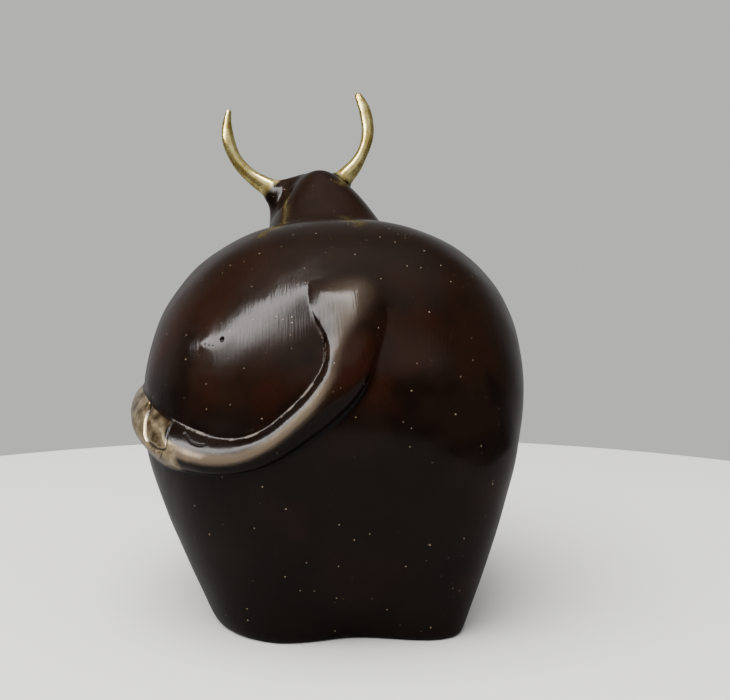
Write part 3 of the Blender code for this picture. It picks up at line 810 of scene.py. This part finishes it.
def markWear(mesh):
    s = rubbed
    q = toBarrel(pointsOf(mesh))
    onTail, nearTail, _, onHorn, nearHorn = findZones(q)
    out = barrelField(q)
    golden, bare, wornAndHighlight, deepPatinaAndShade, ridge = (np.zeros(len(q)) for _ in range(5))
    creaseAway = np.full(len(q), 9.0)  # mm from the tail's inner crease, 9 at most
    carvedAway = np.full(len(q), 6.0)  # half widths from a carved line or a pit, 6 at most

    _, a, share = tailField(q[onTail], out[onTail], nearTail)
    across = tailPlace(q[onTail], nearTail)[1]
    width = tailSection(share)[0]
    within = ease((1.0 - np.abs(a)) / s["edgeFade"]) * rising(out[onTail], s["raisedSpan"]) * (share < 1.0)
    full = rising(share, s["tuftSpan"])
    thin = s["thinShare"] * rising(share, s["thinSpan"]) * (1 - rising(-a, s["thinSide"]))
    gutter = rising(a, s["gutterSide"]) * (1 - rising(share, s["gutterEnd"]))
    secondLock = rising(a, s["lockSide"]) * (share > s["lockFrom"]) * (share < s["lockTo"])
    bare[onTail] = within * np.maximum(full, thin) * (1 - gutter) * (1 - s["lockDull"] * secondLock)

    creaseAway[onTail] = np.clip((across - width / 2) * 1000, -9, 9)
    wornAndHighlight[onTail] = rising(share, s["wornFrom"]) * (1 - rising(share, s["wornTo"]))
    wornAndHighlight[onTail] *= ease((s["wornReach"] - np.abs(creaseAway[onTail])) / s["wornFade"])
    # painted shadow along the tail's outer foot, then painted shade over the patina in the tuft's gutter
    deepPatinaAndShade[onTail] = np.exp(-((a + s["footAt"]) / s["footWidth"]) ** 2) * rising(share, s["footSpan"])
    deepPatinaAndShade[onTail] = np.maximum(deepPatinaAndShade[onTail], s["gutterPatinaAndShade"] * gutter * within * (share > s["gutterFrom"]))

    # the ridge mask is partly rubbed metal and partly a painted highlight, with a faint start on the tail's
    # root
    faint = s["ridgeFaint"]
    along = faint * rising(share, s["faintSpan"]) + (1 - faint) * rising(share, s["ridgeSpan"])
    middle = s["ridgeMiddle"] + s["ridgeShift"] * np.exp(-((share - s["shiftAt"]) / s["shiftReach"]) ** 2)
    spread = mix(*s["ridgeSpread"], rising(share, s["narrowSpan"]))
    ridge[onTail] = np.exp(-((a - middle) / spread) ** 2) * along * within

    golden[onHorn] = 1
    hornOut = hornField(q[onHorn], nearHorn)
    fromMiddle = hornPlace(q[onHorn]) - hornPoints[nearHorn]
    beneath = -fromMiddle[:, 2] / np.maximum(np.linalg.norm(fromMiddle, axis=1), 1e-6)
    onward = ease((hornShares[nearHorn] - s["hornFrom"] - s["hornBeneath"] * beneath) / s["hornOver"])
    bare[onHorn] = (1 - rising(hornOut, s["hornSkin"])) * onward

    for carving in carvings.values():
        if "darkHalfWidth" in carving:
            away = lineOnTail(share, across, carving["line"]) / carving["darkHalfWidth"]
            carvedAway[onTail] = np.minimum(carvedAway[onTail], away)
    for pit, radius in zip(pitPoints, pitRadii):
        carvedAway = np.minimum(carvedAway, np.linalg.norm(q - pit, axis=1) / radius)

    shares = {"golden": golden, "creaseAway": creaseAway, "carvedAway": carvedAway, "bare": bare,
              "wornAndHighlight": wornAndHighlight, "deepPatinaAndShade": deepPatinaAndShade, "ridge": ridge}
    for name, values in shares.items():
        setShares(mesh, name, values)


markWear(bull.data)
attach(bull, "root")
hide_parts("bull")


# materials

def addNode(tree, kind, inputs=(), **settings):
    # one node; inputs are values, sockets or nodes, given by name or in order
    node = tree.nodes.new("ShaderNode" + kind)
    for name, value in settings.items():
        setattr(node, name, value)
    usable = [socket for socket in node.inputs if socket.enabled]
    if isinstance(inputs, dict):
        named = {socket.name: socket for socket in reversed(usable)}
        inputs = [(named[name], value) for name, value in inputs.items()]
    else:
        inputs = zip(usable, inputs)
    for socket, value in inputs:
        if isinstance(value, bpy.types.Node):
            value = next(output for output in value.outputs if output.enabled)
        if isinstance(value, bpy.types.NodeSocket):
            tree.links.new(value, socket)
        else:
            socket.default_value = value
    return node


smooth = {"interpolation_type": "SMOOTHSTEP"}
inColour = {"data_type": "RGBA"}

bronze = {
    # downward-facing surfaces are painted near black as shade; upward-facing ones take a set warmer brown
    "dark": "#100906", "brown": "#20140d", "red": "#2a1209", "deepPatinaAndShade": "#040302", "upwardBrown": "#1b1009",
    # the pale rubbed tone below is partly rubbed metal and partly a painted highlight along the tail's ridge
    "under": "#080503", "wornAndHighlight": "#6c635b", "dust": "#b9a489", "rubbed": "#ae9a82",
    "brass": "#fdeea4", "brassDeep": "#c8ae5e", "tan": "#ecd4aa", "tanDeep": "#705a3a",
    "roughness": 0.17, "roughnessSpread": 0.10, "wornRoughness": 0.3, "shine": 0.28,
    "brassMetal": 0.86, "brassRoughness": 0.15, "rubbedAndHighlightShare": 0.56, "rubbedRoughness": 0.27,
    # strength of the near-black tone: patina in hollows darkened further as painted shade, and a painted
    # shadow along the tail's foot
    "deepShare": 0.92,
    # noises: blob size in metres, detail and roughness
    "noises": {
        "clouds": (0.022, 4.0, 0.55), "reds": (0.0418, 3.0, 0.5), "grain": (0.0016, 3.0, 0.6),
        "crumbs": (0.0040, 3.0, 0.65), "ragged": (0.005, 4.0, 0.6), "tint": (0.006, 4.0, 0.6),
        "dull": (0.010, 4.0, 0.6),
    },
    # ranges of a noise or mask, and what they turn into where it isn't 0 to 1
    "brownRange": (0.38, 0.66), "redRange": (0.48, 0.66, 0.0, 0.85), "fineRange": (0.50, 0.80, 0.0, 0.35),
    "unevenRange": (0.0, 1.0, -0.45, 0.45), "upwardRange": (0.0, 0.75, 0.0, 0.7),
    "underRange": (-0.1, 0.35, 0.0, 0.75), "tintRange": (0.35, 0.68),
    # the pale crease line set here is partly wear and partly a painted highlight
    "crumbRange": (0.46, 0.60), "wornAndHighlightRange": (0.54, 0.08), "carvedRange": (1.5, 0.3), "dullRange": (0.3, 0.7),
    "raggedRange": (0.0, 1.0, -0.3, 0.3), "edgeRange": (0.15, 0.90), "startRange": (0.02, 0.25),
    # specks: gap in metres, and half width as a share of the gap; brush marks and grain: metres
    "speckGap": 0.0026, "speckRange": (0.45, 1.0, 0.012, 0.105), "speckShare": 0.6,
    "brushGap": 0.0007, "brushHeight": 0.00013, "brushRange": (0.0, 1.0, 0.6, 0.12),
    "brushStretch": (1.0, 0.12, 0.05), "grainHeight": 0.00005, "grainStrength": 0.35,
}


def makeBronze():
    # cast bronze, patinated dark brown, waxed and buffed: satin shine with soft brush marks,
    # rubbed back to golden metal where hands and the polishing wheel reach
    s = bronze
    material, tree = addMaterial("cast_bronze_waxed_brown_patina")
    shader = tree.nodes["Principled BSDF"]
    colour = {name: hexColor(code) for name, code in s.items() if str(code).startswith("#")}
    coordinates = addNode(tree, "TexCoord")
    place = coordinates.outputs["Object"]
    mask = {name: addNode(tree, "Attribute", attribute_name=name).outputs["Fac"]
            for name in ("bare", "golden", "wornAndHighlight", "deepPatinaAndShade", "ridge", "creaseAway", "carvedAway")}
    noise = {}
    for seed, (name, (size, detail, roughness)) in enumerate(s["noises"].items(), 1):
        settings = {"Vector": place, "W": seed, "Scale": 1 / size, "Detail": detail, "Roughness": roughness}
        noise[name] = addNode(tree, "TexNoise", settings, noise_dimensions="4D")

    sources = {"brown": noise["clouds"], "red": noise["reds"], "fine": noise["grain"],
               "crumb": noise["crumbs"], "tint": noise["tint"],
               "start": mask["bare"], "carved": mask["carvedAway"]}
    share = {name: addNode(tree, "MapRange", (source, *s[name + "Range"]), **smooth)
             for name, source in sources.items()}

    # patina: dark ground, browner and redder clouds, fine dark grain
    patina = colour["dark"]
    for name, tone in (("brown", "brown"), ("red", "red"), ("fine", "dark")):
        patina = addNode(tree, "Mix", (share[name], patina, colour[tone]), **inColour)

    # upward-facing surfaces turn a set warmer brown, and downward-facing ones are painted near black as shade
    up = addNode(tree, "SeparateXYZ", (coordinates.outputs["Normal"],)).outputs["Z"]
    uneven = addNode(tree, "MapRange", (noise["clouds"], *s["unevenRange"]))
    raised = addNode(tree, "Math", (up, uneven), operation="ADD")
    upwardShare = addNode(tree, "MapRange", (raised, *s["upwardRange"]), **smooth)
    patina = addNode(tree, "Mix", (upwardShare, patina, colour["upwardBrown"]), **inColour)
    hanging = addNode(tree, "Math", (uneven, up), operation="SUBTRACT")
    shaded = addNode(tree, "MapRange", (hanging, *s["underRange"]), **smooth)
    patina = addNode(tree, "Mix", (shaded, patina, colour["under"]), **inColour)

    # specks of dust and polish, up to half a millimetre wide
    cells = addNode(tree, "TexVoronoi", {"Vector": place, "Scale": 1 / s["speckGap"], "Randomness": 1.0})
    pick = addNode(tree, "SeparateColor", (cells.outputs["Color"],))
    width = addNode(tree, "MapRange", (pick, *s["speckRange"]))
    speck = addNode(tree, "Math", (cells.outputs["Distance"], width), operation="LESS_THAN")
    speck = addNode(tree, "Math", (speck, s["speckShare"]), operation="MULTIPLY")
    patina = addNode(tree, "Mix", (speck, patina, colour["dust"]), **inColour)

    # pale line along the tail's crease, broken by crumbs of patina: partly wear, partly a painted highlight
    # on the crease's fillet
    away = addNode(tree, "Math", (mask["creaseAway"],), operation="ABSOLUTE")
    line = addNode(tree, "MapRange", (away, *s["wornAndHighlightRange"]), **smooth)
    wearAndHighlight = addNode(tree, "Math", (line, share["crumb"]), operation="MULTIPLY")
    wearAndHighlight = addNode(tree, "Math", (wearAndHighlight, mask["wornAndHighlight"]), operation="MULTIPLY", use_clamp=True)
    patina = addNode(tree, "Mix", (wearAndHighlight, patina, colour["wornAndHighlight"]), **inColour)

    # thinly rubbed ridge, its pale tone partly a painted highlight, and bare metal with an uneven edge to the
    # patina
    ragged = addNode(tree, "MapRange", (noise["ragged"], *s["raggedRange"]))
    edge = addNode(tree, "Math", (mask["bare"], ragged), operation="ADD")
    edge = addNode(tree, "MapRange", (edge, *s["edgeRange"]), **smooth)
    bare = addNode(tree, "Math", (edge, share["start"]), operation="MULTIPLY", use_clamp=True)
    thin = addNode(tree, "Math", (mask["ridge"], s["rubbedAndHighlightShare"]), operation="MULTIPLY")
    brass = addNode(tree, "Mix", (share["tint"], colour["brassDeep"], colour["brass"]), **inColour)
    tan = addNode(tree, "Mix", (share["tint"], colour["tanDeep"], colour["tan"]), **inColour)
    brass = addNode(tree, "Mix", (mask["golden"], tan, brass), **inColour)
    base = addNode(tree, "Mix", (thin, patina, colour["rubbed"]), **inColour)
    base = addNode(tree, "Mix", (bare, base, brass), **inColour)

    # near black in carved lines, pits and the tuft's gutter, patina darkened further by painted shade, and a
    # painted shadow along the tail's outer foot
    deepPatinaAndShade = addNode(tree, "Math", (mask["deepPatinaAndShade"], share["carved"]), operation="MAXIMUM")
    deepPatinaAndShade = addNode(tree, "Math", (deepPatinaAndShade, s["deepShare"]), operation="MULTIPLY", use_clamp=True)
    base = addNode(tree, "Mix", (deepPatinaAndShade, base, colour["deepPatinaAndShade"]), **inColour)
    metal = addNode(tree, "Math", (bare, s["brassMetal"]), operation="MULTIPLY")
    metal = addNode(tree, "Math", (metal, thin), operation="MAXIMUM")
    clean = addNode(tree, "Math", (1.0, deepPatinaAndShade), operation="SUBTRACT")
    metal = addNode(tree, "Math", (metal, clean), operation="MULTIPLY", use_clamp=True)

    # wax shine: even, with duller clouds
    low, high = s["roughness"] - s["roughnessSpread"] / 2, s["roughness"] + s["roughnessSpread"] / 2
    rough = addNode(tree, "MapRange", (noise["dull"], *s["dullRange"], low, high))
    rough = addNode(tree, "Mix", (thin, rough, s["rubbedRoughness"]))
    rough = addNode(tree, "Mix", (bare, rough, s["brassRoughness"]))
    rough = addNode(tree, "Math", (wearAndHighlight, s["wornRoughness"], rough), operation="MULTIPLY_ADD")

    # brush marks run up and down the patina, and fine grain lies over everything
    stretched = addNode(tree, "Mapping", {"Vector": place, "Scale": s["brushStretch"]})
    settings = {"Vector": stretched, "W": 9.0, "Scale": 1 / s["brushGap"], "Detail": 2.0, "Roughness": 0.5}
    strokes = addNode(tree, "TexNoise", settings, noise_dimensions="4D")
    strength = addNode(tree, "MapRange", (bare, *s["brushRange"]))
    normal = addNode(tree, "Bump", {"Strength": strength, "Distance": s["brushHeight"], "Height": strokes})
    normal = addNode(tree, "Bump", {"Strength": s["grainStrength"], "Distance": s["grainHeight"],
                                    "Height": noise["grain"], "Normal": normal})

    for name, value in {"Base Color": base, "Metallic": metal, "Roughness": rough, "Normal": normal}.items():
        tree.links.new(next(output for output in value.outputs if output.enabled), shader.inputs[name])
    shader.inputs["Specular IOR Level"].default_value = s["shine"]
    return material


bull.data.materials.clear()
bull.data.materials.append(makeBronze())


# floor and light

studio = {
    "floor": "#efeeec", "floorRadius": 0.42, "floorRoughness": 0.8, "floorLevel": 0.2, "floorShine": 0.17,
    # surroundings: what the camera sees, and what the bull mirrors around, ahead, over and behind it
    "wall": "#b5b7b2", "wallGlow": 1.29, "fillGlow": 0.50, "aroundGlow": 0.030,
    "rimGlow": 0.24, "highGlow": 0.08, "overGlow": 0.28, "behindGlow": 0.50,
    "aheadRange": (0.30, 0.85), "highRange": (0.25, 0.65), "overRange": (0.70, 0.95),
    "behindRange": (-0.35, -0.75), "liftedRange": (0.24, 0.48),
    # panel: directions of its far edge from the bull, metres, strength, and strength in second mirror images
    "panelEdge": ((0.10, 0.06, 0.99), (-0.16, 0.06, 0.98), (-0.33, 0.0, 0.94), (-0.45, -0.10, 0.88),
                  (-0.66, -0.09, 0.75), (-0.78, -0.05, 0.63), (-0.87, 0.08, 0.49), (-0.92, 0.22, 0.33)),
    "panelCentre": (0, -0.07, 0.11), "panelDistance": 1.15, "panelWidth": 0.85, "panelFade": 0.33,
    "panelGlow": 16.0, "panelAgain": 1.6, "panelColour": "#fffdfc", "panelSteps": 12,
    "lampPlace": (-0.40, -0.55, 1.5), "lampAim": (0, 0, 0.05), "lampSize": 1.9, "lampPower": 66.0,
    "lampColour": "#fffefc",
}


def makeFloor():
    # round table top of painted board, rolled on matt: pale and even, with hardly a shine
    bm = bmesh.new()
    bmesh.ops.create_circle(bm, cap_ends=True, segments=256, radius=studio["floorRadius"])
    mesh = bpy.data.meshes.new("floor")
    bm.to_mesh(mesh)
    bm.free()
    floor = addObject("floor", mesh)
    material, tree = addMaterial("pale_matt_floor")
    shader = tree.nodes["Principled BSDF"]
    shader.inputs["Base Color"].default_value = hexColor(studio["floor"])
    shader.inputs["Roughness"].default_value = studio["floorRoughness"]
    shader.inputs["Specular IOR Level"].default_value = studio["floorLevel"]
    # the bull mirrors it dimly
    mirrored = addNode(tree, "LightPath").outputs["Is Glossy Ray"]
    dim = addNode(tree, "BsdfDiffuse", {"Color": hexColor("#000000")})
    share = addNode(tree, "Math", (mirrored, 1 - studio["floorShine"]), operation="MULTIPLY")
    both = addNode(tree, "MixShader", (share, shader, dim))
    tree.links.new(both.outputs[0], tree.nodes["Material Output"].inputs["Surface"])
    mesh.materials.append(material)


def makePanel():
    # soft light high on the left, seen only in the bull's shine
    s = studio
    steps, centre = s["panelSteps"], Vector(s["panelCentre"])
    fromEdge = [s["panelWidth"] * j / steps for j in range(steps + 1)]
    corners = []
    for x, y, z in s["panelEdge"]:
        corners += [centre + Vector((x, y - back, z)).normalized() * s["panelDistance"] for back in fromEdge]
    faces = []
    for i in range(len(s["panelEdge"]) - 1):
        for j in range(steps):
            a = i * (steps + 1) + j
            faces.append((a, a + 1, a + steps + 2, a + steps + 1))
    mesh = bpy.data.meshes.new("light_panel")
    mesh.from_pydata(corners, [], faces)
    layer = mesh.attributes.new("away", "FLOAT", "POINT")
    layer.data.foreach_set("value", fromEdge * len(s["panelEdge"]))
    panel = addObject("light_panel", mesh)
    material, tree = addMaterial("diffusing_cloth_lit_from_behind")
    tree.nodes.clear()
    # white cloth stretched before a lamp: its streak is crisp along the far edge and fades towards the camera
    away = addNode(tree, "Attribute", attribute_name="away").outputs["Fac"]
    reach = addNode(tree, "Math", (away, 1 / s["panelFade"]), operation="MULTIPLY")
    square = addNode(tree, "Math", (reach, reach), operation="MULTIPLY")
    fading = addNode(tree, "Math", (1 / 2.718, square), operation="POWER")
    # dimmer where one part of the bull mirrors another's mirror image of it
    depth = addNode(tree, "LightPath").outputs["Ray Depth"]
    again = addNode(tree, "Math", (depth, 1.5), operation="GREATER_THAN")
    power = addNode(tree, "MapRange", (again, 0.0, 1.0, s["panelGlow"], s["panelAgain"]))
    glow = addNode(tree, "Math", (fading, power), operation="MULTIPLY")
    lit = addNode(tree, "Emission", {"Color": hexColor(s["panelColour"]), "Strength": glow})
    # it lets through what lies behind it
    both = addNode(tree, "AddShader", (lit, addNode(tree, "BsdfTransparent")))
    addNode(tree, "OutputMaterial", {"Surface": both})
    mesh.materials.append(material)
    panel.visible_camera = False
    panel.visible_diffuse = False


def makeLamp():
    # broad lamp overhead for floor and form, kept out of the shine
    s = studio
    lamp = addObject("lamp", bpy.data.lights.new("lamp", "AREA"))
    lamp.data.shape = "DISK"
    lamp.data.size = s["lampSize"]
    lamp.data.energy = s["lampPower"]
    lamp.data.color = hexColor(s["lampColour"])[:3]
    lamp.location = s["lampPlace"]
    lamp.rotation_euler = (Vector(s["lampAim"]) - lamp.location).to_track_quat("-Z", "Y").to_euler()
    lamp.visible_glossy = False


def makeWorld():
    # the bull mirrors dim surroundings, with a paler band ahead of it, a light ceiling and a window
    # behind the camera; the camera sees an even grey wall
    s = studio
    world = bpy.data.worlds.new("studio")
    bpy.context.scene.world = world
    world.use_nodes = True
    tree = world.node_tree
    direction = addNode(tree, "SeparateXYZ", (addNode(tree, "TexCoord").outputs["Generated"],))
    axes = {"ahead": "Y", "high": "Z", "over": "Z", "behind": "Y", "lifted": "Z"}
    share = {name: addNode(tree, "MapRange", (direction.outputs[axis], *s[name + "Range"]), **smooth)
             for name, axis in axes.items()}
    band = addNode(tree, "Mix", (share["high"], s["rimGlow"], s["highGlow"]))
    shine = addNode(tree, "Mix", (share["ahead"], s["aroundGlow"], band))
    window = addNode(tree, "Math", (share["behind"], share["lifted"]), operation="MULTIPLY")
    shine = addNode(tree, "Mix", (window, shine, s["behindGlow"]))
    shine = addNode(tree, "Mix", (share["over"], shine, s["overGlow"]))
    light = addNode(tree, "LightPath")
    glow = addNode(tree, "Mix", (light.outputs["Is Glossy Ray"], s["fillGlow"], shine))
    seen = addNode(tree, "Mix", (light.outputs["Is Camera Ray"], glow, s["wallGlow"]))
    tints = (light.outputs["Is Camera Ray"], hexColor("#ffffff"), hexColor(s["wall"]))
    tint = addNode(tree, "Mix", tints, **inColour)
    background = addNode(tree, "Background", {"Color": tint, "Strength": seen})
    tree.links.new(background.outputs[0], tree.nodes["World Output"].inputs["Surface"])


makeFloor()
makePanel()
makeLamp()
makeWorld()


# camera, at the photograph's height, turn and distance

view = {"x": -0.0336, "y": -0.4159, "z": 0.1266, "turn": 6.5, "down": 3.434, "lens": 49.315}


def makeCamera():
    camera = addObject("camera", bpy.data.cameras.new("camera"))
    camera.location = (view["x"] + barrel["x"], view["y"] + barrel["y"], view["z"])
    camera.rotation_euler = (radians(90 - view["down"]), 0, -radians(view["turn"]))
    camera.data.lens = view["lens"]
    camera.data.sensor_width = 36
    camera.data.sensor_fit = "HORIZONTAL"
    bpy.context.scene.camera = camera


makeCamera()
print("stage 4: scene dressed")
